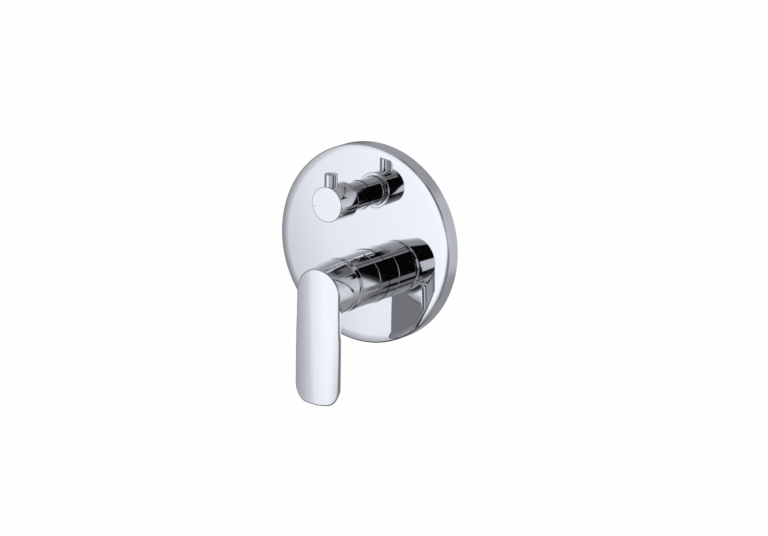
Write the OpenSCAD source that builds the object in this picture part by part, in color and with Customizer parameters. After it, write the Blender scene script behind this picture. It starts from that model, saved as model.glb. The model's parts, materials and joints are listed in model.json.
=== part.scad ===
// Concealed shower mixer with a two-way diverter, as it stands once fitted in a wall.
// The plate's back face lies on the wall, in the plane y = 0, with the room towards -Y and up +Z.
// The origin is the centre of the plate's back face.

/* [Axes] */
// Height of the diverter axis above the centre of the plate
diverter_rise = 41.5; // [39:0.5:46]
// Distance from the diverter axis down to the lever axis
axis_gap = 69; // [66:0.5:74]
// Turn of the lever from straight down, at rest
lever_turn = 8; // [-20:1:20]
// Turn of the diverter knob from upright, at rest
knob_turn = 8; // [-20:1:20]

/* [Wall plate] */
// Outer diameter of the plate
plate_d = 170; // [166:1:190]
// How far the plate's face stands out from the wall
plate_depth = 13.5; // [12:0.5:17]
// Thickness of the plate's metal
plate_wall = 2; // [1.5:0.1:2.4]
// Radius of the plate's polished front edge
plate_edge_r = 1.2; // [0.6:0.1:1.4]
// Gap between a sleeve and its hole in the plate
hole_gap = 0.4; // [0.3:0.1:0.6]
// Depth of the collars behind the plate's holes
collar_depth = 6; // [5:0.5:8]
// Width of the foam gasket inside the plate's rim
gasket_w = 4; // [3:0.5:6]
// Thickness of the foam gasket
gasket_t = 3.5; // [2:0.5:6]
// Radius of the cord of the rubber rings
seal_r = 0.9; // [0.8:0.05:1.1]

/* [Main sleeve and cover] */
// Outer diameter of the sleeve and the cover
sleeve_d = 46; // [45.5:0.5:50]
// Wall of the sleeve
sleeve_wall = 1.8; // [1.4:0.1:2]
// Distance from the wall to the joint between sleeve and cover
sleeve_reach = 27; // [24:0.5:32]
// Width of the open joint between sleeve and cover
joint_gap = 0.8; // [0.4:0.1:1.2]
// Length of the straight part of the cover
cover_length = 25; // [22:0.5:28]
// Wall of the cover's dome
dome_wall = 1.6; // [1.2:0.1:2]
// Step between the cover's straight part and its dome
dome_step = 0.35; // [0.2:0.05:0.5]
// Radius of the small edges on the chromed sleeves
sleeve_edge_r = 0.4; // [0.2:0.1:0.6]

/* [Lever] */
// Distance from the wall to the top of the lever's face
lever_reach = 87; // [84:0.5:95]
// Width of the lever's blade
blade_w = 45; // [42:0.5:45.5]
// Distance from the lever axis down to the tip of the blade
blade_drop = 96; // [85:1:110]
// How far the blade's round top sits below the top of the hub
blade_sink = 1.5; // [0.5:0.5:2.5]
// Thickness of the blade at its middle
blade_t = 11; // [9:0.5:12]
// Thickness of the blade along its edges
blade_edge_t = 2; // [1.5:0.1:3]
// Width of the flat on the back of the blade
blade_flat_w = 34; // [28:0.5:36]
// Radius across the blade's face
face_r = 140; // [100:5:250]
// Radius of the blade's bottom edge
tip_r = 62; // [50:2:90]
// Radius of the blade's bottom corners
corner_r = 8; // [5:0.5:12]
// Radius of the hollow between hub and blade
web_r = 4; // [2:0.5:8]
// Visible width of the cover's dome behind the lever
dome_show = 4.3; // [3.5:0.1:5.5]
// Largest lift of the lever
lift_angle = 22; // [16:1:24]

/* [Cartridge] */
// Diameter of the cartridge
cartridge_d = 35; // [34.5:0.1:35.3]
// Radial play of the cartridge in its seat
seat_play = 0.1; // [0.05:0.01:0.2]
// Distance from the wall to the bottom of the cartridge seat
seat_reach = 16; // [14:0.5:18]
// Height from the cartridge seat to the stem's pivot
pivot_height = 26; // [25.5:0.5:27]
// Thickness of the cartridge base
base_t = 5; // [4:0.5:5.5]
// Thickness of each ceramic disc
disc_t = 4; // [3.5:0.25:4]
// Side of the stem's square end
stem_side = 8; // [7:0.1:8.4]
// Length of the stem beyond its pivot
stem_reach = 24; // [22:0.5:25]
// Radius of the stem's pivot pin
pin_r = 1.5; // [1.2:0.05:1.7]
// Distance from the pivot to the ball that drives the disc
ball_reach = 9.5; // [9:0.1:9.6]
// Radial play of turning parts
turn_play = 0.06; // [0.03:0.01:0.1]

/* [Diverter] */
// Diameter of the diverter knob
knob_d = 30.6; // [29:0.2:34]
// Length of the diverter knob
knob_length = 24.8; // [22:0.2:28]
// Diameter of the neck between plate and knob
neck_d = 24.6; // [24:0.2:26]
// Distance from the wall to the rear of the knob
knob_reach = 35.7; // [35:0.1:40]
// Wall of the neck near the plate
neck_wall = 1.6; // [1.2:0.1:1.8]
// Diameter of the peg on the knob
peg_d = 11; // [8:0.2:12]
// Height of the peg's top above the knob's axis
peg_height = 25.2; // [22:0.2:30]
// Distance from the peg's axis to the knob's front
peg_inset = 6.3; // [6.3:0.1:8]
// Radius of the spindle's toothed end
spline_r = 4; // [3.6:0.1:4.2]
// Number of teeth on the spindle
spline_teeth = 20; // [16:2:24]
// Diameter of the headwork's thread
headwork_d = 20.6; // [20.4:0.1:21]

/* [Valve body] */
// Distance from the wall back to the centre line of the pipes
pipe_depth = 30; // [28:0.5:34]
// Inner radius of the four pipe threads
port_r = 9.32; // [8:0.01:9.5]
// Depth of the four pipe threads
port_length = 14; // [11:0.5:16]
// Radius of the body's four arms
arm_r = 14.5; // [14:0.1:15.5]
// Width across the flats at the end of each arm
hex_w = 27; // [26:0.5:29]
// Length of the six-sided end of each arm
hex_length = 13; // [10:0.5:15]
// Distance from the lever axis to the face of an inlet
inlet_reach = 47; // [44:0.5:52]
// Height of the top outlet's face above the plate's centre
top_reach = 66; // [65:0.5:70]
// Distance of the bottom outlet's face below the plate's centre
bottom_reach = 78; // [76:0.5:84]
// Radius of the body around the mixing chamber
chamber_r = 25; // [24.5:0.5:28]
// Radius of the water ways
way_r = 3.6; // [3:0.1:3.8]
// Distance between the two fixing holes
lug_span = 72; // [66:1:80]
// Radius of the fixing holes
lug_hole_r = 2.75; // [2.25:0.05:3.25]

/* [Hidden] */
$fn = 96;

// A small overlap that joins or cuts cleanly
eps = 0.05;
// A sliding gap along an axis
slide_gap = 0.05;

// Lever column, measured out from the wall
main_z = diverter_rise - axis_gap;
sleeve_r = sleeve_d / 2;
sleeve_inner_r = sleeve_r - sleeve_wall;
sleeve_fit = 0.2;
tower_r = sleeve_inner_r - sleeve_fit;
sleeve_rear = 3;
tower_seal_rise = 9;
tower_seal_s = sleeve_rear + tower_seal_rise;
tower_seal_t = 2 * seal_r;
cover_rear = sleeve_reach + joint_gap;
cover_front = cover_rear + cover_length;
pivot = seat_reach + pivot_height;
dome_r = norm([sleeve_r - dome_step, cover_front - pivot]);
dome_inner_r = dome_r - dome_wall;
hub_rear = cover_front + dome_show;
hub_gap = 0.8;
hub_tilt = atan(blade_sink / (lever_reach - hub_rear));
hub_r = sleeve_r - 0.2;
boss_r = stem_side * 0.71 + 1.9;
boss_rise = 13;
boss_rear = pivot + boss_rise;
socket_gap = 0.08;
socket_depth = 1.5;
cover_hole_r = dome_r * sin(lift_angle + asin(boss_r / dome_inner_r) + 3);
corner_stop = 3;
lever_screw_r = 2.5;
lever_screw_length = 6;
lever_screw_inset = 3.5;
lever_screw_s = pivot + stem_reach - lever_screw_inset;
plug_r = 3.4;
plug_depth = 3.6;
plug_sink = 0.9;

// Plate
plate_r = plate_d / 2;
collar_wall = 1.2;
collar_rear = plate_depth - plate_wall - collar_depth;
collar_middle = plate_depth - plate_wall - collar_depth / 2;

// Cartridge, measured out from the wall
cartridge_r = cartridge_d / 2;
seat_r = cartridge_r + seat_play;
housing_wall = 1.8;
housing_inner_r = cartridge_r - housing_wall;
shoulder = pivot + 1;
shoulder_t = 2;
housing_neck_rise = 7.6;
neck_top = pivot + housing_neck_rise;
turret_top = neck_top + 0.4;
neck_outer_r = 14;
barrel_r = 12;
flange_r = housing_inner_r - 0.1;
nut_r = cartridge_r + 1.4;
nut_play = 0.1;
nut_hole_r = neck_outer_r + 0.2;
nut_rise = 8;
nut_top = pivot + nut_rise;
nut_slot_w = 4;
nut_slot_depth = 2.5;
locator_x = 12.5;
locator_r = 1.4;
locator_length = 2;
base_seal_t = 1.2;
base_seal_w = 1.05;
tower_front = nut_top;
base_front = seat_reach + base_t;
fixed_front = base_front + disc_t;
moving_rear = fixed_front + slide_gap;
moving_front = moving_rear + disc_t;
carrier_front = moving_front + 3.4;
rail_t = 3;
rail_w = 12;
rail_length = 14;
turret_rear = carrier_front + slide_gap;
turret_shoulder = shoulder - shoulder_t - slide_gap;
ball = pivot - ball_reach;
ball_r = 2.5;
ball_play = 0.15;
ball_socket_r = ball_r + ball_play;
flare_h = carrier_front + rail_t + 1 - ball;
flare_r = ball_socket_r + flare_h * tan(lift_angle);
eye_r = 4.8;
shank_r = 1.9;
slot_half_w = stem_side / 2 + 0.3;
slot_low = -8;
slot_high = 9.5;
disc_r = 12.6;
disc_offset = 1.7;
pocket_r = 6.5;
pocket_y = 4.5;
pocket_depth = 2;
pocket_rim = 1.8;
inlet_way_x = 7;
inlet_way_y = -2;
inlet_way_r = way_r - 0.4;
mixed_way_y = 8;

// Diverter column, measured out from the wall
neck_r = neck_d / 2;
neck_inner_r = neck_r - neck_wall;
neck_rear = 5;
neck_thread_rear = 14;
knob_r = knob_d / 2;
knob_front = knob_reach + knob_length;
knob_recess = 2.2;
knob_front_edge_r = 0.7;
knob_rear_edge_r = 0.5;
knob_gap = 0.4;
neck_edge_r = 0.3;
neck_entry = 1.5;
neck_front = knob_reach + neck_entry;
headwork_r = headwork_d / 2;
headwork_play = 0.05;
headwork_seat = -2;
headwork_rear = -14.6;
headwork_hex_w = 20;
headwork_hex_t = 6;
headwork_seal_t = 2.4;
barrel_out_r = 9.6;
barrel_front = 30;
spindle_r = 5;
spindle_flange_r = 7.9;
spindle_ceiling = -5;
small_disc_t = 2.5;
small_disc_r = 8;
key_w = 2;
key_t = 1;
outlet_hole_r = 1.9;
outlet_hole_at = 3.5;
feed_hole_r = 1.7;
selector_w = 3;
selector_depth = 1.2;
knob_cap_t = 8.5;
spindle_front = knob_front - knob_cap_t;
clip_t = 0.9;
clip_groove_r = spindle_r - 0.9;
clip_outer_r = spindle_r + 1.6;
socket_front = spindle_front + 0.5;
spline_depth = 0.5;
knob_screw_r = 1.95;
knob_screw_s = spindle_front - 5.5;
knob_screw_sink = 2;
peg_r = peg_d / 2;
peg_s = knob_front - peg_inset;
peg_seat = 3;
peg_stud_r = peg_r / 2;
peg_stud_end = knob_r - 7.5;
peg_top_edge_r = 0.8;
peg_foot_edge_r = 0.2;

// Valve body
diverter_tower_r = 16;
body_back = 40;
tower_foot = -4;
top_z = top_reach;
bottom_z = -bottom_reach;
front_way = pipe_depth - 6;
back_way = pipe_depth + 5;
riser_r = way_r - 0.2;
outlet_way_r = way_r - 0.6;
way_entry = 3;
lug_y = 17;
lug_t = 6;
lug_z = (diverter_rise - diverter_tower_r + main_z + chamber_r) / 2;
lug_r = 7;

// Places its children on the lever axis, with their z axis out of the wall and y up
module main_axis() {
    translate([0, 0, main_z]) rotate([90, 0, 0]) children();
}

// Places its children on the diverter axis in the same way
module diverter_axis() {
    translate([0, 0, diverter_rise]) rotate([90, 0, 0]) children();
}

// Turns what follows a handle about its column
module turned(angle) {
    rotate([0, 0, -angle]) children();
}

// A straight-sided ring between two heights
module ring(outer_r, inner_r, low, high) {
    rotate_extrude() translate([inner_r, low]) square([outer_r - inner_r, high - low]);
}

// A disc or bore between two heights
module rod(r, low, high) {
    translate([0, 0, low]) cylinder(h = high - low, r = r);
}

// A six-sided prism between two heights, with its corners turned off
module hexagon(width, low, high) {
    intersection() {
        translate([0, 0, low]) cylinder(h = high - low, r = width / sqrt(3), $fn = 6);
        rod(width / 2 * 1.12, low, high);
    }
}

// What is taken off a corner at the origin to leave a round edge
module corner_cut(r) {
    difference() {
        translate([-r, -r]) square(r + eps);
        translate([-r, -r]) circle(r);
    }
}

// A ring whose outer edges are rounded, front and rear
module edged_ring(outer_r, inner_r, low, high, front_r, rear_r) {
    rotate_extrude() difference() {
        translate([inner_r, low]) square([outer_r - inner_r, high - low]);
        translate([outer_r, high]) corner_cut(front_r);
        translate([outer_r, low]) mirror([0, 1]) corner_cut(rear_r);
    }
}

// A rubber ring lying round a column
module seal_ring(inner_r, cord_r, at) {
    translate([0, 0, at]) rotate_extrude() translate([inner_r + cord_r, 0]) circle(cord_r);
}

function seal_groove_r(column_r) = column_r + 2 * seal_r + 2 * eps;

module plate_dish() {
    rotate([90, 0, 0]) rotate_extrude() difference() {
        square([plate_r, plate_depth]);
        square([plate_r - plate_wall, plate_depth - plate_wall]);
        translate([plate_r, plate_depth]) corner_cut(plate_edge_r);
    }
}

module plate_collar(column_r) {
    rod(seal_groove_r(column_r) + collar_wall, collar_rear, plate_depth - plate_wall / 2);
}

module plate_hole(column_r) {
    rod(column_r + hole_gap, collar_rear - 1, plate_depth + 1);
    rod(seal_groove_r(column_r), collar_middle - seal_r - eps, collar_middle + seal_r + eps);
}

module wall_plate() color("gainsboro") {
    difference() {
        union() {
            plate_dish();
            main_axis() plate_collar(sleeve_r);
            diverter_axis() plate_collar(neck_r);
        }
        main_axis() plate_hole(sleeve_r);
        diverter_axis() plate_hole(neck_r);
    }
}

module plate_gasket() color("dimgray") {
    gasket_r = plate_r - plate_wall;
    rotate([90, 0, 0]) ring(gasket_r, gasket_r - gasket_w, 0, gasket_t);
}

module sleeve_seal() color("black") {
    main_axis() seal_ring(sleeve_r + eps, seal_r, collar_middle);
}

module neck_seal() color("black") {
    diverter_axis() seal_ring(neck_r + eps, seal_r, collar_middle);
}

// An arm of the casting along its own z axis, with a six-sided end
module arm(length) {
    rod(arm_r, 0, length - hex_length + 1);
    hexagon(hex_w, length - hex_length, length);
}

// The threaded mouth of an arm
module port(length) {
    rod(port_r, length - port_length, length + 1);
    translate([0, 0, length - 1]) cylinder(h = 1 + eps, r1 = port_r, r2 = port_r + 1.2);
}

// Each of these places its children at an arm's root, with z along the arm
module left_arm() {
    translate([0, pipe_depth, main_z]) rotate([0, -90, 0]) children();
}

module right_arm() {
    translate([0, pipe_depth, main_z]) rotate([0, 90, 0]) children();
}

module top_arm() {
    translate([0, pipe_depth, 0]) children();
}

module bottom_arm() {
    translate([0, pipe_depth, 0]) rotate([180, 0, 0]) children();
}

module fixing_bar() {
    translate([-lug_span / 2, lug_y, lug_z - lug_r]) cube([lug_span, lug_t, 2 * lug_r]);
    for (side = [-1, 1])
        translate([side * lug_span / 2, lug_y, lug_z]) rotate([-90, 0, 0]) rod(lug_r, 0, lug_t);
}

module body_casting() {
    left_arm() arm(inlet_reach);
    right_arm() arm(inlet_reach);
    top_arm() arm(top_z);
    bottom_arm() arm(-bottom_z);
    fixing_bar();
    main_axis() {
        rod(chamber_r, -body_back, tower_foot);
        rod(tower_r, tower_foot - 1, tower_front);
    }
    diverter_axis() rod(diverter_tower_r, -body_back, headwork_seat);
}

// Where the cartridge, its nut and the rubber ring sit in the tower
module tower_bores() {
    rod(seat_r, seat_reach, shoulder + eps);
    rod(nut_r + nut_play, shoulder, tower_front + 1);
    difference() {
        rod(tower_r + 1, tower_seal_s - seal_r, tower_seal_s + seal_r);
        rod(sleeve_inner_r - tower_seal_t, tower_seal_s - 2 * seal_r, tower_seal_s + 2 * seal_r);
    }
    for (side = [-1, 1])
        translate([side * locator_x, 0, 0])
            rod(locator_r + seat_play, seat_reach - locator_length - seat_play, seat_reach + 1);
}

// Water ways from the two inlets to the cartridge seat
module inlet_ways() {
    for (side = [-1, 1]) main_axis() translate([side * inlet_way_x, inlet_way_y, 0]) {
        rod(inlet_way_r, -front_way, seat_reach + 1);
        translate([0, 0, -front_way]) rotate([0, side * 90, 0])
            rod(way_r, -way_r, inlet_reach - port_length + way_entry - inlet_way_x);
    }
}

// The riser takes the mixed water from the cartridge seat up to the middle of the diverter
module mixed_way() {
    main_axis() translate([0, mixed_way_y, 0]) rod(way_r, -front_way, seat_reach + 1);
    translate([0, front_way, 0]) rod(riser_r, main_z + mixed_way_y - way_r, diverter_rise);
    diverter_axis() rod(feed_hole_r, -front_way, headwork_rear);
}

// The diverter's right way leads to the top outlet, and its left way to the bottom outlet
module outlet_ways() {
    outlet_z = diverter_rise + outlet_hole_at;
    diverter_axis() translate([outlet_hole_at, outlet_hole_at, 0])
        rod(outlet_hole_r, -pipe_depth, headwork_rear);
    translate([outlet_hole_at, pipe_depth, 0])
        rod(outlet_way_r, outlet_z - outlet_way_r, top_z - port_length + way_entry);
    diverter_axis() translate([-outlet_hole_at, outlet_hole_at, 0])
        rod(outlet_hole_r, -back_way, headwork_rear);
    translate([-outlet_hole_at, back_way, 0])
        rod(outlet_way_r, bottom_z + port_length - way_entry, outlet_z + outlet_way_r);
}

// The whole casting with everything that is cut into it
module bored_casting() {
    difference() {
        body_casting();
        left_arm() port(inlet_reach);
        right_arm() port(inlet_reach);
        top_arm() port(top_z);
        bottom_arm() port(-bottom_z);
        main_axis() tower_bores();
        diverter_axis() rod(headwork_r + headwork_play, headwork_rear - headwork_seal_t, headwork_seat + 1);
        inlet_ways();
        mixed_way();
        outlet_ways();
        for (side = [-1, 1])
            translate([side * lug_span / 2, lug_y, lug_z]) rotate([-90, 0, 0]) rod(lug_hole_r, -1, lug_t + 1);
    }
}

// The space round the threaded end of an arm, from the thread's last turn outwards
module end_space(length) {
    translate([-hex_w, -pipe_depth, length - port_length])
        cube([2 * hex_w, pipe_depth + hex_w, port_length + 1]);
}

module end_spaces() {
    left_arm() end_space(inlet_reach);
    right_arm() end_space(inlet_reach);
    top_arm() end_space(top_z);
    bottom_arm() end_space(-bottom_z);
}

module valve_body() color("peru") {
    difference() {
        bored_casting();
        end_spaces();
    }
}

// The four threaded ends of the same casting
module port_ends() color("sandybrown") {
    intersection() {
        bored_casting();
        end_spaces();
    }
}

module tower_seal() color("black") {
    main_axis() seal_ring(sleeve_inner_r - tower_seal_t, seal_r - eps, tower_seal_s);
}

module main_sleeve() color("silver") {
    main_axis() edged_ring(sleeve_r, sleeve_inner_r, sleeve_rear, sleeve_reach, sleeve_edge_r, sleeve_edge_r);
}

// The straight cover carries a dome centred on the stem's pivot, so that the lever glides over it
module cartridge_cover() color("silver") {
    main_axis() difference() {
        union() {
            edged_ring(sleeve_r, tower_r + eps, cover_rear, cover_front, sleeve_edge_r, sleeve_edge_r);
            intersection() {
                translate([0, 0, pivot]) sphere(dome_r);
                ring(sleeve_r, cover_hole_r, cover_front - 2, pivot + dome_r);
            }
        }
        intersection() {
            translate([0, 0, pivot]) sphere(dome_inner_r);
            rod(sleeve_r, tower_front, pivot + dome_r);
        }
    }
}

module cartridge_nut() color("darkgoldenrod") {
    main_axis() difference() {
        ring(nut_r, nut_hole_r, shoulder, nut_top);
        for (turn = [0 : 60 : 300])
            rotate([0, 0, turn]) translate([nut_hole_r - 1, -nut_slot_w / 2, nut_top - nut_slot_depth])
                cube([nut_r, nut_slot_w, nut_slot_depth + 1]);
    }
}

module cartridge_housing() color("whitesmoke") {
    main_axis() {
        ring(cartridge_r, housing_inner_r, base_front, shoulder);
        ring(cartridge_r, barrel_r + turn_play, shoulder - shoulder_t, shoulder);
        ring(neck_outer_r, barrel_r + turn_play, shoulder - eps, neck_top);
    }
}

// The holes through the base and the fixed disc
module cartridge_ports(low, high, grow = 0) {
    for (side = [-1, 1])
        translate([side * inlet_way_x, inlet_way_y, 0]) rod(inlet_way_r + grow, low, high);
    translate([0, mixed_way_y, 0]) rod(way_r + grow, low, high);
}

module cartridge_base() color("dimgray") {
    main_axis() {
        difference() {
            rod(cartridge_r, seat_reach, base_front);
            cartridge_ports(seat_reach - 1, base_front + 1);
            cartridge_ports(seat_reach - 1, seat_reach + base_seal_t, base_seal_w + eps);
        }
        for (side = [-1, 1])
            translate([side * locator_x, 0, 0]) rod(locator_r, seat_reach - locator_length, seat_reach + eps);
    }
}

module base_seals() color("black") {
    main_axis() difference() {
        cartridge_ports(seat_reach, seat_reach + base_seal_t, base_seal_w);
        cartridge_ports(seat_reach - 1, seat_reach + 2);
    }
}

module fixed_disc() color("white") {
    main_axis() difference() {
        rod(flange_r, base_front, fixed_front);
        cartridge_ports(base_front - 1, fixed_front + 1);
    }
}

// The pocket beneath this disc joins the inlets to the mixed way once it slides down
module moving_disc() color("ivory") {
    main_axis() turned(lever_turn) translate([0, disc_offset, 0]) difference() {
        rod(disc_r, moving_rear, moving_front);
        intersection() {
            translate([0, pocket_y, 0]) rod(pocket_r, moving_rear - 1, moving_rear + pocket_depth);
            rod(disc_r - pocket_rim, moving_rear - 1, moving_rear + pocket_depth);
        }
    }
}

// The ball's seat flares out in front, where the stem's shank tilts
module disc_carrier() color("slategray") {
    main_axis() turned(lever_turn) difference() {
        union() {
            translate([0, disc_offset, 0]) rod(disc_r, moving_front, carrier_front);
            translate([-rail_w / 2, disc_offset - rail_length / 2, carrier_front - eps])
                cube([rail_w, rail_length, rail_t + eps]);
        }
        rod(ball_socket_r, ball - ball_r - 2 * ball_play, pivot);
        translate([0, 0, ball]) cylinder(h = flare_h, r1 = ball_socket_r, r2 = flare_r);
    }
}

// The pin's hole is open at one side, where the pin is pushed in
module turret() color("lightslategray") {
    main_axis() turned(lever_turn) difference() {
        union() {
            rod(flange_r, turret_rear, turret_shoulder);
            rod(barrel_r, turret_shoulder - eps, turret_top);
        }
        translate([-slot_half_w, slot_low, turret_rear - 1])
            cube([2 * slot_half_w, slot_high - slot_low, turret_top - turret_rear + 2]);
        translate([-rail_w / 2 - slide_gap, -flange_r, turret_rear - 1])
            cube([rail_w + 2 * slide_gap, 2 * flange_r, rail_t + 1 + slide_gap]);
        translate([0, 0, pivot]) rotate([0, 90, 0]) rod(pin_r, -barrel_r, flange_r + 1);
    }
}

module pivot_pin() color("lightsteelblue") {
    main_axis() turned(lever_turn) translate([0, 0, pivot]) rotate([0, 90, 0])
        rod(pin_r, -barrel_r + 1, barrel_r - 1);
}

module cartridge_stem() color("khaki") {
    main_axis() turned(lever_turn) translate([0, 0, pivot]) difference() {
        union() {
            translate([-stem_side / 2, -stem_side / 2, 2]) cube([stem_side, stem_side, stem_reach - 2]);
            rotate([0, 90, 0]) rod(eye_r, -stem_side / 2, stem_side / 2);
            rod(shank_r, -ball_reach, -pin_r - turn_play);
            translate([0, 0, -ball_reach]) sphere(ball_r);
        }
        rotate([0, 90, 0]) rod(pin_r + turn_play, -stem_side, stem_side);
    }
}

// Cross-section of the blade: a slightly crowned face, thin edges and a flat back between two bevels.
// The bevels run on past the blade's sides, which its outline cuts.
module blade_section() {
    half_w = blade_w / 2;
    crown = face_r - sqrt(face_r * face_r - half_w * half_w);
    bevel_slope = (blade_t - crown - blade_edge_t) / (half_w - blade_flat_w / 2);
    margin = 2;
    intersection() {
        translate([0, lever_reach - face_r]) circle(face_r, $fn = 360);
        polygon([
            [-half_w - margin, lever_reach + 1],
            [-half_w - margin, lever_reach - crown - blade_edge_t + margin * bevel_slope],
            [-blade_flat_w / 2, lever_reach - blade_t],
            [blade_flat_w / 2, lever_reach - blade_t],
            [half_w + margin, lever_reach - crown - blade_edge_t + margin * bevel_slope],
            [half_w + margin, lever_reach + 1]
        ]);
    }
}

// The blade's straight sides and curved tip, as a plain prism. Its square top lies inside the hub,
// which gives the blade its round end.
module blade_prism() {
    tip_centre = tip_r - blade_drop;
    low = lever_reach - blade_t - 1;
    intersection() {
        translate([-blade_w / 2, -blade_drop - 1, low])
            cube([blade_w, blade_drop + 1 - blade_sink, blade_t + 2]);
        translate([0, tip_centre, 0]) rod(tip_r, low, lever_reach + 1);
    }
}

// What is taken off a bottom corner of the blade to leave it round. It stops a little short of where
// the corner meets the tip's curve, so that the two round faces cross and don't only touch.
module blade_corner_cut(side) {
    corner_x = blade_w / 2 - corner_r;
    tip_centre = tip_r - blade_drop;
    corner_y = tip_centre - sqrt(pow(tip_r - corner_r, 2) - corner_x * corner_x);
    last_angle = acos(corner_x / (tip_r - corner_r)) - corner_stop;
    margin = corner_r + 3;
    low = lever_reach - blade_t - 2;
    difference() {
        translate([0, 0, low]) linear_extrude(blade_t + 4) polygon([
            [side * corner_x, corner_y],
            [side * (corner_x + margin), corner_y],
            [side * (corner_x + margin), corner_y - margin],
            [side * (corner_x + margin * cos(last_angle)), corner_y - margin * sin(last_angle)]
        ]);
        translate([side * corner_x, corner_y, 0]) rod(corner_r, low - 1, lever_reach + 3);
    }
}

module blade() {
    difference() {
        intersection() {
            blade_prism();
            translate([0, sleeve_r + 2, 0]) rotate([90, 0, 0])
                linear_extrude(sleeve_r + blade_drop + 4) blade_section();
        }
        for (side = [-1, 1]) blade_corner_cut(side);
    }
}

// The hub leans a little, so that it runs from the dome into the round top of the blade's face
module hub() {
    intersection() {
        translate([0, 0, hub_rear]) rotate([hub_tilt, 0, 0]) rod(hub_r, -3, lever_reach);
        rod(sleeve_r * 2, hub_rear, lever_reach + 1);
        translate([0, 0, lever_reach - face_r]) rotate([90, 0, 0]) rod(face_r, -2 * sleeve_r, 2 * sleeve_r);
    }
}

// The hollow curve that carries the hub's underside into the back of the blade
module hub_web() {
    back = lever_reach - blade_t;
    intersection() {
        translate([-blade_w / 2, -blade_drop, back - 2 * web_r]) cube([blade_w, blade_drop, 3 * web_r]);
        translate([0, -blade_sink / 2, 0]) rotate_extrude() difference() {
            translate([hub_r - 4, back - web_r]) square([web_r + 4, web_r + 1]);
            translate([hub_r + web_r, back - web_r]) circle(web_r);
        }
    }
}

module lever() color("silver") {
    socket_w = stem_side + 2 * socket_gap;
    main_axis() turned(lever_turn) difference() {
        union() {
            hub();
            hub_web();
            blade();
        }
        difference() {
            translate([0, 0, pivot]) sphere(dome_r + hub_gap);
            rod(boss_r, boss_rear, pivot + dome_r + 5);
        }
        translate([-socket_w / 2, -socket_w / 2, boss_rear - 1])
            cube([socket_w, socket_w, pivot + stem_reach + socket_depth - boss_rear]);
        lever_screw_place() rod(lever_screw_r, stem_side / 2, sleeve_r + 3);
        lever_screw_place() rod(plug_r, sleeve_r - plug_depth, sleeve_r + 3);
    }
}

// The screw enters the hub from below, behind the blade
module lever_screw_place() {
    translate([0, 0, lever_screw_s]) rotate([90, 0, 0]) children();
}

// The six-sided hole in the end of a grub screw, down from its end at the origin
module screw_socket(screw_r) {
    translate([0, 0, -1.2 * screw_r]) cylinder(h = 1.2 * screw_r + 1, r = 0.56 * screw_r, $fn = 6);
}

module lever_screw() color("gray") {
    main_axis() turned(lever_turn) lever_screw_place() difference() {
        rod(lever_screw_r, stem_side / 2, stem_side / 2 + lever_screw_length);
        translate([0, 0, stem_side / 2 + lever_screw_length]) screw_socket(lever_screw_r);
    }
}

module lever_plug() color("crimson") {
    main_axis() turned(lever_turn) lever_screw_place()
        rod(plug_r - eps, sleeve_r - plug_depth, sleeve_r - plug_sink);
}

module headwork_housing() color("darkgoldenrod") {
    diverter_axis() difference() {
        union() {
            rod(headwork_r, headwork_rear, headwork_seat);
            hexagon(headwork_hex_w, headwork_seat, headwork_seat + headwork_hex_t);
            rod(barrel_out_r, headwork_seat + 1, barrel_front);
        }
        rod(small_disc_r + 0.1, headwork_rear - 1, spindle_ceiling);
        rod(spindle_r + turn_play, spindle_ceiling - 1, barrel_front + 1);
    }
}

module headwork_seal() color("black") {
    diverter_axis()
        ring(headwork_r - 2 * eps, small_disc_r - 0.5, headwork_rear - headwork_seal_t, headwork_rear);
}

// The water comes in through the middle hole and leaves by one of the other two
module diverter_seat_disc() color("white") {
    diverter_axis() difference() {
        rod(small_disc_r, headwork_rear, headwork_rear + small_disc_t);
        rod(feed_hole_r, headwork_rear - 1, headwork_rear + small_disc_t + 1);
        for (side = [-1, 1])
            translate([side * outlet_hole_at, outlet_hole_at, 0])
                rod(outlet_hole_r, headwork_rear - 1, headwork_rear + small_disc_t + 1);
    }
}

// A blind slot under this disc leads from the middle hole to one outlet hole, as the knob is turned
module diverter_turning_disc() color("ivory") {
    low = headwork_rear + small_disc_t + slide_gap;
    high = low + small_disc_t;
    slot_end = norm([outlet_hole_at, outlet_hole_at]) + outlet_hole_r;
    diverter_axis() turned(knob_turn) difference() {
        rod(small_disc_r - 0.1, low, high);
        translate([-selector_w / 2, -selector_w / 2, low - 1])
            cube([selector_w, slot_end + selector_w / 2, selector_depth + 1]);
        translate([-small_disc_r, -key_w / 2, high - key_t]) cube([2 * small_disc_r, key_w, key_t + 1]);
    }
}

// Outline of a toothed shaft whose tips lie on the given radius
module spline(tip_r) {
    step = 180 / spline_teeth;
    polygon([
        for (i = [0 : 2 * spline_teeth - 1])
            let (r = i % 2 == 0 ? tip_r : tip_r - spline_depth)
            [r * cos(i * step), r * sin(i * step)]
    ]);
}

module diverter_spindle() color("darkkhaki") {
    low = headwork_rear + 2 * small_disc_t + slide_gap;
    diverter_axis() turned(knob_turn) difference() {
        union() {
            translate([1 - small_disc_r, eps - key_w / 2, low - key_t])
                cube([2 * small_disc_r - 2, key_w - 2 * eps, key_t + eps]);
            rod(spindle_flange_r, low, spindle_ceiling - slide_gap);
            rod(spindle_r, low, barrel_front + clip_t + 1);
            translate([0, 0, barrel_front]) linear_extrude(spindle_front - barrel_front) spline(spline_r);
        }
        ring(spindle_r + 1, clip_groove_r, barrel_front + slide_gap, barrel_front + clip_t + 2 * slide_gap);
    }
}

module spindle_clip() color("gray") {
    diverter_axis() turned(knob_turn) difference() {
        ring(clip_outer_r, clip_groove_r + eps, barrel_front + slide_gap, barrel_front + slide_gap + clip_t);
        translate([-clip_groove_r / 2, 0, barrel_front - 1])
            cube([clip_groove_r, clip_outer_r + 1, clip_t + 2]);
    }
}

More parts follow.
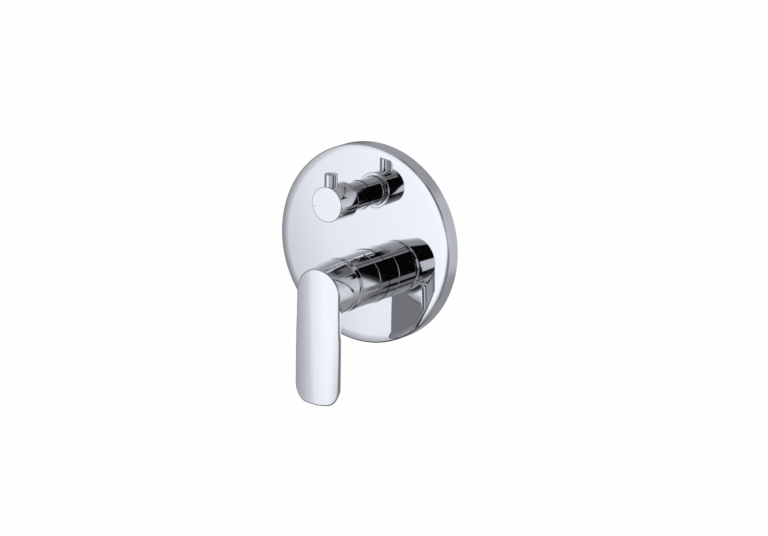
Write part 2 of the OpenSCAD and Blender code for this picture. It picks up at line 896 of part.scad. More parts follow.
module diverter_neck() color("silver") {
    diverter_axis() {
        edged_ring(neck_r, barrel_out_r + eps, neck_thread_rear, neck_front, neck_edge_r, 0);
        edged_ring(neck_r, neck_inner_r, neck_rear, neck_thread_rear + eps, 0, neck_edge_r);
    }
}

module diverter_knob() color("silver") {
    diverter_axis() turned(knob_turn) difference() {
        edged_ring(knob_r, 0, knob_reach, knob_front, knob_front_edge_r, knob_rear_edge_r);
        rod(neck_r + knob_gap, knob_reach - 1, knob_reach + knob_recess);
        translate([0, 0, knob_reach]) linear_extrude(socket_front - knob_reach) spline(spline_r + socket_gap);
        translate([0, 0, peg_s]) rotate([-90, 0, 0]) {
            rod(peg_r + eps, knob_r - peg_seat, knob_r + 2);
            rod(peg_stud_r + eps, peg_stud_end - 0.5, knob_r - peg_seat + 1);
        }
        translate([0, 0, knob_screw_s]) rotate([90, 0, 0]) rod(knob_screw_r, 0, knob_r + 2);
    }
}

module knob_peg() color("silver") {
    diverter_axis() turned(knob_turn) translate([0, 0, peg_s]) rotate([-90, 0, 0]) {
        edged_ring(peg_r, 0, knob_r - peg_seat, peg_height, peg_top_edge_r, peg_foot_edge_r);
        rod(peg_stud_r, peg_stud_end, knob_r - peg_seat + eps);
    }
}

module knob_screw() color("gray") {
    diverter_axis() turned(knob_turn) translate([0, 0, knob_screw_s]) rotate([90, 0, 0]) difference() {
        rod(knob_screw_r, spline_r + socket_gap, knob_r - knob_screw_sink);
        translate([0, 0, knob_r - knob_screw_sink]) screw_socket(knob_screw_r);
    }
}

wall_plate();
plate_gasket();
sleeve_seal();
neck_seal();
valve_body();
port_ends();
tower_seal();
main_sleeve();
cartridge_cover();
cartridge_nut();
cartridge_housing();
cartridge_base();
base_seals();
fixed_disc();
moving_disc();
disc_carrier();
turret();
pivot_pin();
cartridge_stem();
lever();
lever_screw();
lever_plug();
headwork_housing();
headwork_seal();
diverter_seat_disc();
diverter_turning_disc();
diverter_spindle();
spindle_clip();
diverter_neck();
diverter_knob();
knob_peg();
knob_screw();
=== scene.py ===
import json
import math

import bmesh
import bpy
import numpy as np
from mathutils import Matrix, Vector


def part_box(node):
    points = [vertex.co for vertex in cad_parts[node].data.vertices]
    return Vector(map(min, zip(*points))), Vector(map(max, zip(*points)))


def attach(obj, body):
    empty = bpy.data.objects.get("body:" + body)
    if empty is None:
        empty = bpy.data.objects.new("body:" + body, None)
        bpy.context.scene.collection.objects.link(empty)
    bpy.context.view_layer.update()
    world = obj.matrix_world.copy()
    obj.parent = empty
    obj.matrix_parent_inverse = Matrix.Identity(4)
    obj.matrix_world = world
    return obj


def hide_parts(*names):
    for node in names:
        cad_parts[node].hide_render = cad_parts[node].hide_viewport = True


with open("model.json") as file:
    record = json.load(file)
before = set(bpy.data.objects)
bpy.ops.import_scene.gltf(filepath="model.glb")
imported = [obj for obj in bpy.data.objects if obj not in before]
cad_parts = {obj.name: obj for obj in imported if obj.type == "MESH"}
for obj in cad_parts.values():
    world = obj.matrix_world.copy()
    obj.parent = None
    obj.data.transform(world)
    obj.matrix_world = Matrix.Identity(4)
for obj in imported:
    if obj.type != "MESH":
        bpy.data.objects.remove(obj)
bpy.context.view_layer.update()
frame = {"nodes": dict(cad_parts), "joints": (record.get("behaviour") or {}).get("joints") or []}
nodes = frame["nodes"]
joints = {joint["name"]: joint for joint in frame["joints"]}

MM = 0.001
LEVER_Z = joints["temperature_turn"]["pos_m"][2]
KNOB_Z = joints["diverter_turn"]["pos_m"][2]
KNOB_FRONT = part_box("diverter_knob")[0].y
plate_low, plate_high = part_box("wall_plate")
PLATE_FRONT = plate_low.y
PLATE_R = (plate_high.x - plate_low.x) / 2

# Relief: the fall of the plate's face towards its edge, and the flare of the cover towards the lever
ROLL_OFF = 7.5 * MM
ROLL_DEPTH = 0.75 * MM
FLARE_FRONT = -61.5 * MM
FLARE_LENGTH = 8.5 * MM
FLARE_DEPTH = 0.085 * MM

# Dots on the knob's face: a ring of small ones and a darker one beside it
RING_R = 9.8 * MM
RING_ANGLES = range(45, 181, 15)
RING_DOT = 0.3 * MM
RING_SHADE = 0.62
LONE_DOT = (12.2 * MM, 184, 0.5 * MM, 0.12)

# Camera, found from the plate's outline and the rings of the sleeve in the photograph
IMAGE_W = 768
IMAGE_H = 536
CAMERA_AZIMUTH = math.radians(35.55)
CAMERA_ELEVATION = math.radians(8.72)
CAMERA_ROLL = math.radians(-6)
CAMERA_DISTANCE = 3.0
FOCAL_PX = 3581
CENTRE_PX = (363.87, 243.73)
SENSOR_MM = 36

# Studio
WORLD_LIGHT = 0.6
FLOOR_DROP = 0.95
FLOOR_SIZE = 40
FLOOR_WHITE = 0.98
TENT_R = 0.9
TENT_TINT = (0.975, 1.0, 1.08)
CHROME_SHARE = 0.94


def link(obj):
    bpy.context.scene.collection.objects.link(obj)
    return obj


def mesh_object(name, bm):
    mesh = bpy.data.meshes.new(name)
    bm.to_mesh(mesh)
    bm.free()
    return link(bpy.data.objects.new(name, mesh))


# Materials


class Material:
    """A node material with one Principled shader and short helpers for its textures."""

    def __init__(self, name, metallic=0.0, roughness=0.5):
        self.material = bpy.data.materials.new(name)
        self.material.use_nodes = True
        self.tree = self.material.node_tree
        self.shader = self.tree.nodes["Principled BSDF"]
        self.shader.inputs["Metallic"].default_value = metallic
        self.shader.inputs["Roughness"].default_value = roughness
        coordinates = self.tree.nodes.new("ShaderNodeTexCoord")
        self.place = coordinates.outputs["Object"]

    def node(self, kind, **inputs):
        made = self.tree.nodes.new("ShaderNode" + kind)
        for name, value in inputs.items():
            socket = made.inputs[name.replace("_", " ")]
            if isinstance(value, bpy.types.NodeSocket):
                self.tree.links.new(value, socket)
            else:
                socket.default_value = value
        return made

    def noise(self, size, detail=2.0, stretch=(1, 1, 1)):
        """Noise whose features are about size metres across."""
        mapping = self.node("Mapping", Vector=self.place, Scale=stretch)
        texture = self.node("TexNoise", Vector=mapping.outputs[0], Scale=1 / size, Detail=detail)
        return texture.outputs[0]

    def remap(self, value, low, high, start=0.3, end=0.7):
        made = self.node("MapRange", Value=value)
        for index, number in ((1, start), (2, end), (3, low), (4, high)):
            made.inputs[index].default_value = number
        return made.outputs[0]

    def blend(self, factor, first, second):
        ramp = self.tree.nodes.new("ShaderNodeValToRGB")
        ramp.color_ramp.elements[0].color = (*first, 1)
        ramp.color_ramp.elements[1].color = (*second, 1)
        self.tree.links.new(factor, ramp.inputs[0])
        return ramp.outputs[0]

    def product(self, first, second):
        made = self.tree.nodes.new("ShaderNodeMath")
        made.operation = "MULTIPLY"
        self.tree.links.new(first, made.inputs[0])
        self.tree.links.new(second, made.inputs[1])
        return made.outputs[0]

    def across_front(self, operation, centre=(0, 0, 0)):
        """A length or distance as seen from straight in front, with the depth left out."""
        flat = self.node("VectorMath", Vector=self.place)
        flat.operation = "MULTIPLY"
        flat.inputs[1].default_value = (1, 0, 1)
        made = self.node("VectorMath", Vector=flat.outputs[0])
        made.operation = operation
        made.inputs[1].default_value = centre
        return made.outputs["Value"]

    def depth(self):
        return self.node("SeparateXYZ", Vector=self.place).outputs[1]

    def set(self, socket, value):
        self.tree.links.new(value, self.shader.inputs[socket])

    def bump(self, height, depth, strength=1.0):
        made = self.node("Bump", Height=height, Distance=depth, Strength=strength)
        self.set("Normal", made.outputs[0])


def chrome(name="chrome"):
    m = Material(name, metallic=1.0)
    haze = m.noise(12 * MM, detail=4)
    m.finish = m.blend(haze, (0.925, 0.93, 0.94), (0.95, 0.953, 0.96))
    m.set("Base Color", m.finish)
    m.set("Roughness", m.remap(haze, 0.012, 0.03))
    return m


def plate_chrome():
    """Chrome whose front rolls off by a fraction of a millimetre towards the plate's edge."""
    m = chrome("chrome_plate")
    edge = m.remap(m.across_front("LENGTH"), 0, 1, PLATE_R - ROLL_OFF, PLATE_R)
    m.bump(m.remap(m.product(edge, edge), 1, 0, 0, 1), ROLL_DEPTH)
    return m


def cover_chrome():
    """Chrome that flares by a tenth of a millimetre towards the lever."""
    m = chrome("chrome_cover")
    flare = m.node("MapRange", Value=m.depth())
    flare.interpolation_type = "SMOOTHSTEP"
    for index, number in ((1, FLARE_FRONT), (2, FLARE_FRONT + FLARE_LENGTH), (3, 1), (4, 0)):
        flare.inputs[index].default_value = number
    m.bump(flare.outputs[0], FLARE_DEPTH)
    return m


def marked_chrome(marks):
    """Chrome with small grey dots on the knob's face. marks are (radius, angle, size, shade) of each."""
    m = chrome("chrome_marked")
    on_face = m.remap(m.depth(), 1, 0, KNOB_FRONT + 0.1 * MM, KNOB_FRONT + 0.3 * MM)
    colour = m.finish
    for radius, angle, size, shade in marks:
        turn = math.radians(angle)
        centre = (radius * math.cos(turn), 0, KNOB_Z + radius * math.sin(turn))
        dot = m.remap(m.across_front("DISTANCE", centre), 1, 0, size * 0.7, size * 1.3)
        mix = m.tree.nodes.new("ShaderNodeMix")
        mix.data_type = "RGBA"
        m.tree.links.new(m.product(dot, on_face), mix.inputs[0])
        m.tree.links.new(colour, mix.inputs[6])
        mix.inputs[7].default_value = (shade, shade, shade, 1)
        colour = mix.outputs[2]
    m.set("Base Color", colour)
    return m


def cast_brass():
    m = Material("cast_brass", metallic=1.0)
    sand = m.noise(0.9 * MM, detail=6)
    patches = m.noise(14 * MM, detail=3)
    m.set("Base Color", m.blend(patches, (0.52, 0.36, 0.15), (0.74, 0.55, 0.26)))
    m.set("Roughness", m.remap(patches, 0.38, 0.55))
    m.bump(sand, 0.12 * MM, 0.7)
    return m


def turned_metal(name, dark, light, axis_z, roughness):
    """Lathe-turned metal with fine rings round the column at the given height."""
    m = Material(name, metallic=1.0)
    centred = m.node("Mapping", Vector=m.place, Location=(0, 0, -axis_z))
    rings = m.node("TexWave", Vector=centred.outputs[0], Scale=400, Distortion=1.5, Detail=2)
    rings.wave_type = "RINGS"
    rings.rings_direction = "Y"
    patches = m.noise(5 * MM, detail=3)
    m.set("Base Color", m.blend(patches, dark, light))
    m.set("Roughness", m.remap(rings.outputs[1], roughness, roughness + 0.12, 0, 1))
    m.bump(rings.outputs[1], 0.01 * MM, 0.5)
    return m


def moulded(name, dark, light, roughness, grain=0.5, depth=0.01):
    """Plastic, rubber or ceramic with a fine grain of the given size and depth in millimetres."""
    m = Material(name)
    fine = m.noise(grain * MM, detail=4)
    patches = m.noise(6 * MM, detail=3)
    m.set("Base Color", m.blend(patches, dark, light))
    m.set("Roughness", m.remap(fine, roughness - 0.05, roughness + 0.08))
    m.bump(fine, depth * MM, 0.6)
    return m


def foam():
    m = Material("foam", roughness=0.95)
    cells = m.node("TexVoronoi", Vector=m.place, Scale=1 / (0.8 * MM))
    m.set("Base Color", m.blend(cells.outputs[0], (0.03, 0.03, 0.032), (0.10, 0.10, 0.105)))
    m.bump(cells.outputs[0], 0.25 * MM)
    return m


def finishes():
    """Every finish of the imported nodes, with the nodes that have it."""
    brass = ((0.60, 0.44, 0.19), (0.80, 0.62, 0.31))
    grey = ((0.42, 0.42, 0.43), (0.60, 0.60, 0.61))
    return [
        (chrome(), ["main_sleeve", "lever", "diverter_neck", "diverter_knob", "knob_peg"]),
        (plate_chrome(), ["wall_plate"]),
        (cover_chrome(), ["cartridge_cover"]),
        (cast_brass(), ["valve_body", "port_ends"]),
        (turned_metal("turned_brass", *brass, LEVER_Z, 0.2), ["cartridge_nut"]),
        (turned_metal("knob_brass", *brass, KNOB_Z, 0.2), ["headwork_housing", "diverter_spindle"]),
        (turned_metal("steel", *grey, LEVER_Z, 0.24),
         ["cartridge_stem", "pivot_pin", "lever_screw", "spindle_clip", "knob_screw"]),
        (moulded("black_rubber", (0.018, 0.018, 0.02), (0.035, 0.035, 0.037), 0.6),
         ["sleeve_seal", "neck_seal", "tower_seal", "base_seals", "headwork_seal"]),
        (moulded("light_plastic", (0.70, 0.70, 0.67), (0.78, 0.78, 0.76), 0.38), ["cartridge_housing"]),
        (moulded("dark_plastic", (0.045, 0.05, 0.056), (0.07, 0.075, 0.083), 0.42),
         ["disc_carrier", "turret", "cartridge_base"]),
        (moulded("ceramic", (0.76, 0.75, 0.71), (0.83, 0.82, 0.79), 0.16, grain=0.3, depth=0.002),
         ["fixed_disc", "moving_disc", "diverter_seat_disc", "diverter_turning_disc"]),
        (moulded("red_plastic", (0.50, 0.012, 0.012), (0.60, 0.02, 0.018), 0.32), ["lever_plug"]),
        (foam(), ["plate_gasket"]),
    ]


def dress_nodes():
    for finish, names in finishes():
        for name in names:
            slots = nodes[name].data.materials
            slots.clear()
            slots.append(finish.material)


# Lever and knob


def soft_step(t):
    t = np.clip(t, 0, 1)
    return t * t * (3 - 2 * t)


def round_both(a, b, r):
    """What lies inside both solids, with the edge between them rounded."""
    return np.minimum(-r, np.maximum(a, b)) + np.hypot(np.maximum(a + r, 0), np.maximum(b + r, 0))


def blend_either(a, b, r):
    """What lies inside either solid, with the corner between them filled."""
    h = np.maximum(r - np.abs(a - b), 0) / r
    return np.minimum(a, b) - h ** 3 * r / 6


def slanted(edge, rise, width, depth):
    """A side that leans in by width over depth, from where rise is zero."""
    return (edge * depth - rise * width) / math.hypot(depth, width)


def slope(solid, points, step=0.004):
    """The gradient of an implicit solid at some points."""
    result = np.empty_like(points)
    for axis in range(3):
        move = np.zeros(3)
        move[axis] = step
        result[:, axis] = (solid(*(points + move).T) - solid(*(points - move).T)) / (2 * step)
    return result


def surface(shape):
    """Points, faces and exact normals of an implicit solid's skin, one point in each grid cell that it
    passes through."""
    low, high = np.array(shape.low), np.array(shape.high)
    counts = np.ceil((high - low) / shape.cell).astype(int) + 1
    axes = [low[i] + shape.cell * np.arange(counts[i]) for i in range(3)]
    values = shape.solid(*np.meshgrid(*axes, indexing="ij"))
    inside = values < 0
    cells = counts - 1
    crossing_sum = np.zeros((*cells, 3))
    crossing_count = np.zeros(cells)
    quads = []
    corner = [slice(0, -1), slice(1, None)]
    for axis in range(3):
        near = tuple(slice(0, -1) if i == axis else slice(None) for i in range(3))
        far = tuple(slice(1, None) if i == axis else slice(None) for i in range(3))
        crosses = inside[near] != inside[far]
        at = np.argwhere(crosses)
        a, b = values[near][crosses], values[far][crosses]
        place = at.astype(float)
        place[:, axis] += a / (a - b)
        others = [i for i in range(3) if i != axis]
        for da in (0, 1):
            for db in (0, 1):
                cell = at.copy()
                cell[:, others[0]] -= da
                cell[:, others[1]] -= db
                fits = ((cell >= 0) & (cell < cells)).all(axis=1)
                index = tuple(cell[fits].T)
                np.add.at(crossing_sum, index, place[fits])
                np.add.at(crossing_count, index, 1)
        inner = (at[:, others[0]] > 0) & (at[:, others[1]] > 0)
        inner &= (at[:, others[0]] < cells[others[0]]) & (at[:, others[1]] < cells[others[1]])
        at, start_inside = at[inner], inside[near][crosses][inner]
        round_edge = []
        for da, db in ((0, 0), (1, 0), (1, 1), (0, 1)):
            cell = at.copy()
            cell[:, others[0]] -= da
            cell[:, others[1]] -= db
            round_edge.append(np.ravel_multi_index(cell.T, cells))
        quad = np.stack(round_edge, axis=1)
        flip = start_inside if axis == 1 else ~start_inside
        quad[flip] = quad[flip][:, ::-1]
        quads.append(quad)
    used = crossing_count > 0
    numbers = np.full(cells, -1)
    numbers[used] = np.arange(used.sum())
    points = low + shape.cell * crossing_sum[used] / crossing_count[used][:, None]
    for _ in range(6):
        lean = slope(shape.solid, points)
        steep = np.maximum((lean ** 2).sum(axis=1), 0.04)
        move = -(shape.solid(*points.T) / steep)[:, None] * lean
        points += np.clip(move, -shape.cell / 2, shape.cell / 2)
    faces = numbers.ravel()[np.concatenate(quads)]
    lean = slope(shape.solid, points)
    return points, faces, lean / np.linalg.norm(lean, axis=1)[:, None]


class Lever:
    """The lever's casting as one implicit solid, in millimetres. across runs to the right, up along the
    blade towards its round end and out away from the wall, all from the lever's axis at the wall."""

    # Turn from straight down, and the crowned face that hub and blade share
    turn = math.radians(8)
    face = 87.0
    face_r = 140.0
    face_edge_r = 1.1
    # Hub, whose axis sinks on its way to the face
    hub_rear = 57.1
    hub_rear_r = 22.8
    hub_front_r = 21.3
    hub_curve = 1.5
    sink = 1.5
    # Outline of the blade, which widens below the hub
    half_width = 22.4
    widening = 48.0
    drop = 96.0
    tip_r = 62.0
    corner_r = 11.0
    # The blade's back, and the two slants from the face's edge down to it
    back = 75.6
    rim_start = 84.6
    rim_slant = (2.3, 5.4)
    pad_start = 79.2
    pad_slant = (2.7, 3.6)
    pad_edge_r = 2.6
    # Fillet between hub and blade: least and further width, where it starts and how soon it is whole
    web_least = 0.45
    web = 5.0
    web_top = 8.0
    web_growth = 30.0
    web_front = 85.5
    web_fade = 11.0
    # Small edges, on the outside and at the holes
    edge_r = 0.5
    hole_edge_r = 0.25
    # Hollow over the cover's dome, the boss inside it, and the stem's square socket
    dome_centre = 42.0
    dome_r = 25.9
    boss_r = 7.58
    boss_rear = 55.0
    socket = 4.08
    socket_top = 67.5
    # Hole of the screw, wider where the plug sits
    screw_out = 62.5
    screw_r = 2.5
    screw_end = -4.0
    plug_r = 3.4
    plug_end = -19.4
    # Grid on which the skin is found
    cell = 0.55
    low = (-24.2, -97.4, 54.2)
    high = (24.2, 24.2, 88.3)

    def solid(self, across, up, out):
        """Below zero inside the metal."""
        rise = (out - self.hub_rear) / (self.face - self.hub_rear)
        narrowing = np.clip(rise, 0, 1) ** self.hub_curve
        hub_r = self.hub_rear_r + (self.hub_front_r - self.hub_rear_r) * narrowing
        hub = np.hypot(across, up + self.sink * rise) - hub_r
        hub = round_both(hub, self.hub_rear - out, self.edge_r)
        face = np.hypot(across, out - self.face + self.face_r) - self.face_r
        above = up + self.sink
        spread = soft_step(-above / self.widening)
        width = self.hub_front_r + (self.half_width - self.hub_front_r) * spread
        top = np.hypot(across, above) - self.hub_front_r
        side = np.where(above > 0, top, np.abs(across) - width)
        tip = np.hypot(across, up + self.drop - self.tip_r) - self.tip_r
        outline = round_both(side, tip, self.corner_r)
        rim = slanted(outline, out - self.rim_start, *self.rim_slant)
        pad = slanted(outline + self.rim_slant[0], out - self.pad_start, *self.pad_slant)
        pad = round_both(self.back - out, pad, self.pad_edge_r)
        blade = round_both(outline, round_both(pad, rim, self.pad_edge_r), self.edge_r)
        below = soft_step((self.web_top - up) / self.web_growth)
        behind = soft_step((self.web_front - out) / self.web_fade)
        metal = blend_either(blade, hub, self.web_least + self.web * below * behind)
        metal = round_both(metal, face, self.face_edge_r)
        cavity = np.sqrt(across ** 2 + up ** 2 + (out - self.dome_centre) ** 2) - self.dome_r
        boss = np.maximum(np.hypot(across, up) - self.boss_r, self.boss_rear - out)
        metal = np.maximum(metal, np.minimum(-cavity, boss))
        stem = np.maximum(np.maximum(np.abs(across), np.abs(up)) - self.socket, out - self.socket_top)
        hole = np.hypot(across, out - self.screw_out)
        screw = np.maximum(hole - self.screw_r, up - self.screw_end)
        plug = np.maximum(hole - self.plug_r, up - self.plug_end)
        return round_both(metal, -np.minimum(np.minimum(stem, screw), plug), self.hole_edge_r)


class Knob:
    """The diverter's knob as one implicit solid in the same directions, from the diverter's axis. Its
    side draws in a little towards the front."""

    turn = math.radians(8)
    radius = 15.4
    taper = 0.45
    rear = 35.7
    front = 60.5
    front_edge_r = 0.7
    rear_edge_r = 0.5
    hole_edge_r = 0.2
    recess_r = 12.7
    recess_end = 37.9
    socket_r = 4.1
    socket_end = 52.5
    screw_out = 46.5
    screw_r = 1.95
    cell = 0.5
    low = (-16.3, -16.3, 34.8)
    high = (16.3, 16.3, 61.5)

    def solid(self, across, up, out):
        """Below zero inside the metal."""
        distance = np.hypot(across, up)
        rise = np.clip((out - self.rear) / (self.front - self.rear), 0, 1)
        side = distance - self.radius + self.taper * rise ** 2
        body = round_both(side, out - self.front, self.front_edge_r)
        body = round_both(body, self.rear - out, self.rear_edge_r)
        recess = np.maximum(distance - self.recess_r, out - self.recess_end)
        socket = np.maximum(distance - self.socket_r, out - self.socket_end)
        screw = np.maximum(np.hypot(across, out - self.screw_out) - self.screw_r, up)
        return round_both(body, -np.minimum(np.minimum(recess, socket), screw), self.hole_edge_r)


def casting(shape, name, node, body, height, material):
    """A solid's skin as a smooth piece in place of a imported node. height is that of its axis."""
    points, faces, normals = surface(shape)
    cos, sin = math.cos(shape.turn), math.sin(shape.turn)

    def placed(across, up, out):
        return np.stack([across * cos + up * sin, -out, up * cos - across * sin], axis=1)

    mesh = bpy.data.meshes.new(name)
    mesh.from_pydata((placed(*points.T) * MM + (0, 0, height)).tolist(), [], faces.tolist())
    mesh.polygons.foreach_set("use_smooth", [True] * len(faces))
    mesh.normals_split_custom_set_from_vertices(placed(*normals.T).tolist())
    mesh.materials.append(material)
    piece = link(bpy.data.objects.new(name, mesh))
    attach(piece, body)
    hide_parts(node)


def lever_piece():
    """The lever with its rounded edges and the bevel round its back, in place of the plain casting."""
    material = nodes["lever"].data.materials[0]
    casting(Lever(), "lever_casting", "lever", "lever", LEVER_Z, material)


def knob_piece():
    """The knob with its tapered side and the marks on its face, in place of the plain one."""
    ring = [(RING_R, angle, RING_DOT, RING_SHADE) for angle in RING_ANGLES]
    material = marked_chrome(ring + [LONE_DOT]).material
    casting(Knob(), "knob_casting", "diverter_knob", "knob", KNOB_Z, material)


# Studio


def smooth_step(value, low, high):
    t = min(max((value - low) / (high - low), 0), 1)
    return t * t * (3 - 2 * t)


class Panel:
    """A soft-edged patch of the light tent. cone counts degrees from straight out of the wall, and clock
    degrees round that line, 0 at the right and 90 at the top. grey is what polished chrome shows, from 0
    to 255: one number, or pairs of a place along the clock or the cone and the grey there. A leaning
    panel's cone shifts by lean for each degree of the clock."""

    def __init__(self, clock, cone, grey, soft=(10, 1.5), along="clock", lean=0.0):
        self.middle = sum(clock) / 2
        self.half = (clock[1] - clock[0]) / 2
        self.cone = cone
        self.grey = grey if isinstance(grey, list) else [(0, grey)]
        self.soft = soft
        self.along = along
        self.lean = lean

    def over(self, grey, clock, cone):
        """The grey at a place of the tent once this panel hangs in front of it."""
        turn = (clock - self.middle + 180) % 360 - 180
        cone -= self.lean * turn
        low, high = self.cone
        edge, rim = self.soft[0] / 2, self.soft[1] / 2
        share = 1 - smooth_step(abs(turn), self.half - edge, self.half + edge)
        share *= smooth_step(cone, low - rim, low + rim)
        share *= 1 - smooth_step(cone, high - rim, high + rim)
        if share == 0:
            return grey
        places, greys = zip(*self.grey)
        own = np.interp(self.middle + turn if self.along == "clock" else cone, places, greys)
        return grey + (own - grey) * share


ROOM_GREY = 150
PANELS = [
    # Grey room behind the wall's plane, which the plate's rim and the backs of things mirror
    Panel((-50, 45), (100, 181), 176, (30, 10)),
    Panel((-42, 8), (108, 139.5), 208, (30, 5)),
    Panel((45, 150), (100, 181), [(45, 146), (150, 152)], (20, 10)),
    Panel((-120, -50), (100, 181), 140, (20, 10)),
    Panel((-215, -140), (66, 181), 117, (20, 10)),
    Panel((-145, -80), (52, 128), 50, (24, 16)),
    Panel((-142, -34), (144.5, 176), 84, (8, 2)),
    Panel((-42, -14), (106, 125), 50, (6, 5)),
    Panel((-60, -16), (55, 84), 40, (8, 6)),
    Panel((15, 46), (66, 100), 4, (6, 14)),
    Panel((62, 80), (66, 100), 75, (8, 14)),
    # Soft greys above, and the bright floor of the studio at the right
    Panel((60, 176), (-2, 60), [(60, 132), (112, 140), (130, 160), (150, 186), (170, 214)], (24, 10)),
    Panel((-34, 62), (38.9, 54), [(-30, 210), (0, 196), (34, 174), (62, 134)], (10, 0.6)),
    Panel((-92, -30), (38.9, 64), [(-92, 112), (-30, 182)], (10, 0.6)),
    Panel((48, 92), (38.6, 40.4), 100, (8, 0.8)),
    Panel((44, 88), (44.6, 51.4), 100, (6, 1)),
    Panel((20, 41), (43, 47.4), 18, (5, 1), lean=0.12),
    Panel((60, 80), (48.8, 51.2), 28, (5, 0.8)),
    Panel((78, 89), (44.8, 50.6), 35, (4, 1)),
    # The large soft window at the left, which the plate and the blade mirror
    Panel((156, 231), (-2, 62), [(30, 245), (38.5, 230), (42, 203), (46, 185), (62, 122)],
          (34, 5), "cone"),
    # Dark floor and the black screen in front
    Panel((-131, -44), (-2, 34.6), [(-131, 150), (-44, 8)], (6, 1)),
    Panel((-100, -60), (34.6, 40), 100, (4, 0.8)),
    Panel((-64, 57), (32, 38.85), 5, (4, 0.5)),
    Panel((-14, 84), (-2, 34.6), 5, (5, 1)),
    Panel((-48, -2), (-2, 32.3), 187, (6, 1), lean=-0.04),
    Panel((56, 80), (33.8, 38.7), [(60, 124), (63, 118), (66, 72), (70, 74), (74, 118), (80, 128)],
          (2, 0.6)),
    # Narrow strips that draw the lines along the sleeves
    Panel((-53, -35), (36, 40), 108, (4, 0.6)),
    Panel((-85, -80), (36, 39.6), 12, (3, 0.6)),
    Panel((79, 104), (35.3, 37.4), 12, (6, 0.6)),
    # A calm light grey straight ahead, where all the panels above would meet in one point
    Panel((-400, 400), (-10, 12), [(0, 214), (5, 196), (14, 150)], (10, 8), "cone"),
]


def linear(grey):
    """The light that shows as a grey of 0 to 255 in polished chrome."""
    value = grey / 255
    light = value / 12.92 if value <= 0.04045 else ((value + 0.055) / 1.055) ** 2.4
    return light / CHROME_SHARE


def tent_grey(clock, cone):
    grey = ROOM_GREY
    for panel in PANELS:
        grey = panel.over(grey, clock, cone)
    return grey


def steps(low, high, step):
    return [low + i * step for i in range(round((high - low) / step))]


def light_tent():
    """A sphere of soft panels round the plate. Only mirrors see it."""
    bm = bmesh.new()
    shade = bm.verts.layers.float_color.new("shade")
    centre = Vector((0, PLATE_FRONT, 0))
    clocks = steps(-180, 180, 1.5)
    # Finer at the cones that the plate and the sleeves mirror
    cones = steps(0, 28, 2) + steps(28, 46, 0.4) + steps(46, 180, 2) + [180]
    rings = []
    for cone in cones:
        ring = []
        for clock in clocks:
            t, p = math.radians(cone), math.radians(clock)
            out = Vector((math.sin(t) * math.cos(p), -math.cos(t), math.sin(t) * math.sin(p)))
            vertex = bm.verts.new(centre + out * TENT_R)
            light = linear(tent_grey(clock, cone))
            vertex[shade] = (light * TENT_TINT[0], light * TENT_TINT[1], light * TENT_TINT[2], 1)
            ring.append(vertex)
        rings.append(ring)
    for near, far in zip(rings, rings[1:]):
        for i in range(len(clocks)):
            bm.faces.new((near[i - 1], near[i], far[i], far[i - 1]))
    tent = mesh_object("light_tent", bm)
    material = bpy.data.materials.new("tent_light")
    material.use_nodes = True
    tree = material.node_tree
    tree.nodes.clear()
    colour = tree.nodes.new("ShaderNodeVertexColor")
    colour.layer_name = "shade"
    emission = tree.nodes.new("ShaderNodeEmission")
    output = tree.nodes.new("ShaderNodeOutputMaterial")
    tree.links.new(colour.outputs[0], emission.inputs[0])
    tree.links.new(emission.outputs[0], output.inputs[0])
    tent.data.materials.append(material)
    tent.visible_camera = False
    tent.visible_diffuse = False
    tent.visible_transmission = False
    tent.visible_shadow = False


def seen_white(tree):
    """1 where a camera, mirror or see-through ray looks, else 0."""
    path = tree.nodes.new("ShaderNodeLightPath")
    total = path.outputs["Is Camera Ray"]
    for name in ("Is Glossy Ray", "Is Transmission Ray"):
        larger = tree.nodes.new("ShaderNodeMath")
        larger.operation = "MAXIMUM"
        tree.links.new(total, larger.inputs[0])
        tree.links.new(path.outputs[name], larger.inputs[1])
        total = larger.outputs[0]
    return total


def white_world():
    """White to look at, and a softer light on the object."""
    world = bpy.data.worlds.new("studio")
    bpy.context.scene.world = world
    world.use_nodes = True
    tree = world.node_tree
    background = tree.nodes["Background"]
    strength = tree.nodes.new("ShaderNodeMapRange")
    tree.links.new(seen_white(tree), strength.inputs[0])
    strength.inputs[3].default_value = WORLD_LIGHT
    background.inputs[0].default_value = (1, 1, 1, 1)
    tree.links.new(strength.outputs[0], background.inputs[1])


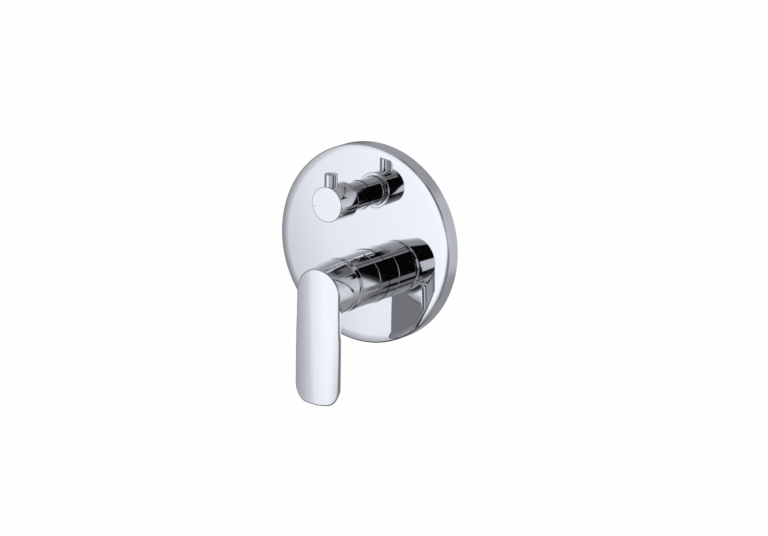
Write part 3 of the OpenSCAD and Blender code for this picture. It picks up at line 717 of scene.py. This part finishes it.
def floor():
    bm = bmesh.new()
    half = FLOOR_SIZE / 2
    corners = [(-half, -half), (half, -half), (half, half), (-half, half)]
    bm.faces.new([bm.verts.new((x, y, -FLOOR_DROP)) for x, y in corners])
    plane = mesh_object("floor", bm)
    material = bpy.data.materials.new("floor_white")
    material.use_nodes = True
    tree = material.node_tree
    tree.nodes.clear()
    diffuse = tree.nodes.new("ShaderNodeBsdfDiffuse")
    diffuse.inputs[0].default_value = (0.9, 0.9, 0.9, 1)
    white = tree.nodes.new("ShaderNodeEmission")
    mix = tree.nodes.new("ShaderNodeMixShader")
    output = tree.nodes.new("ShaderNodeOutputMaterial")
    share = tree.nodes.new("ShaderNodeMath")
    share.operation = "MULTIPLY"
    share.inputs[1].default_value = FLOOR_WHITE
    tree.links.new(seen_white(tree), share.inputs[0])
    tree.links.new(share.outputs[0], mix.inputs[0])
    tree.links.new(diffuse.outputs[0], mix.inputs[1])
    tree.links.new(white.outputs[0], mix.inputs[2])
    tree.links.new(mix.outputs[0], output.inputs[0])
    plane.data.materials.append(material)


def soft_lamp(name, place, size, power):
    """A square lamp that faces the plate and that mirrors don't show."""
    data = bpy.data.lights.new(name, "AREA")
    data.shape = "SQUARE"
    data.size = size
    data.energy = power
    lamp = link(bpy.data.objects.new(name, data))
    lamp.location = place
    lamp.rotation_mode = "QUATERNION"
    lamp.rotation_quaternion = Vector(place).to_track_quat("Z", "Y")
    lamp.visible_glossy = False


def camera():
    a, e, roll = CAMERA_AZIMUTH, CAMERA_ELEVATION, CAMERA_ROLL
    back = Vector((math.sin(a) * math.cos(e), -math.cos(a) * math.cos(e), math.sin(e)))
    level = Vector((math.cos(a), math.sin(a), 0))
    upright = back.cross(level)
    right = level * math.cos(roll) + upright * math.sin(roll)
    up = back.cross(right)
    data = bpy.data.cameras.new("camera")
    data.sensor_width = SENSOR_MM
    data.lens = FOCAL_PX / IMAGE_W * SENSOR_MM
    data.shift_x = (IMAGE_W / 2 - CENTRE_PX[0]) / IMAGE_W
    data.shift_y = -(IMAGE_H / 2 - CENTRE_PX[1]) / IMAGE_W
    data.clip_end = 60
    obj = link(bpy.data.objects.new("camera", data))
    place = Vector((0, PLATE_FRONT, 0)) + back * CAMERA_DISTANCE
    turn = Matrix((right, up, back)).transposed().to_4x4()
    obj.matrix_world = Matrix.Translation(place) @ turn
    bpy.context.scene.camera = obj


bpy.context.scene.view_settings.view_transform = "Standard"
camera()
dress_nodes()
lever_piece()
knob_piece()
white_world()
floor()
light_tent()
soft_lamp("key_lamp", (-1.2, -1.6, 1.6), 1.2, 40)
soft_lamp("fill_lamp", (1.8, -1.0, 0.6), 1.2, 15)
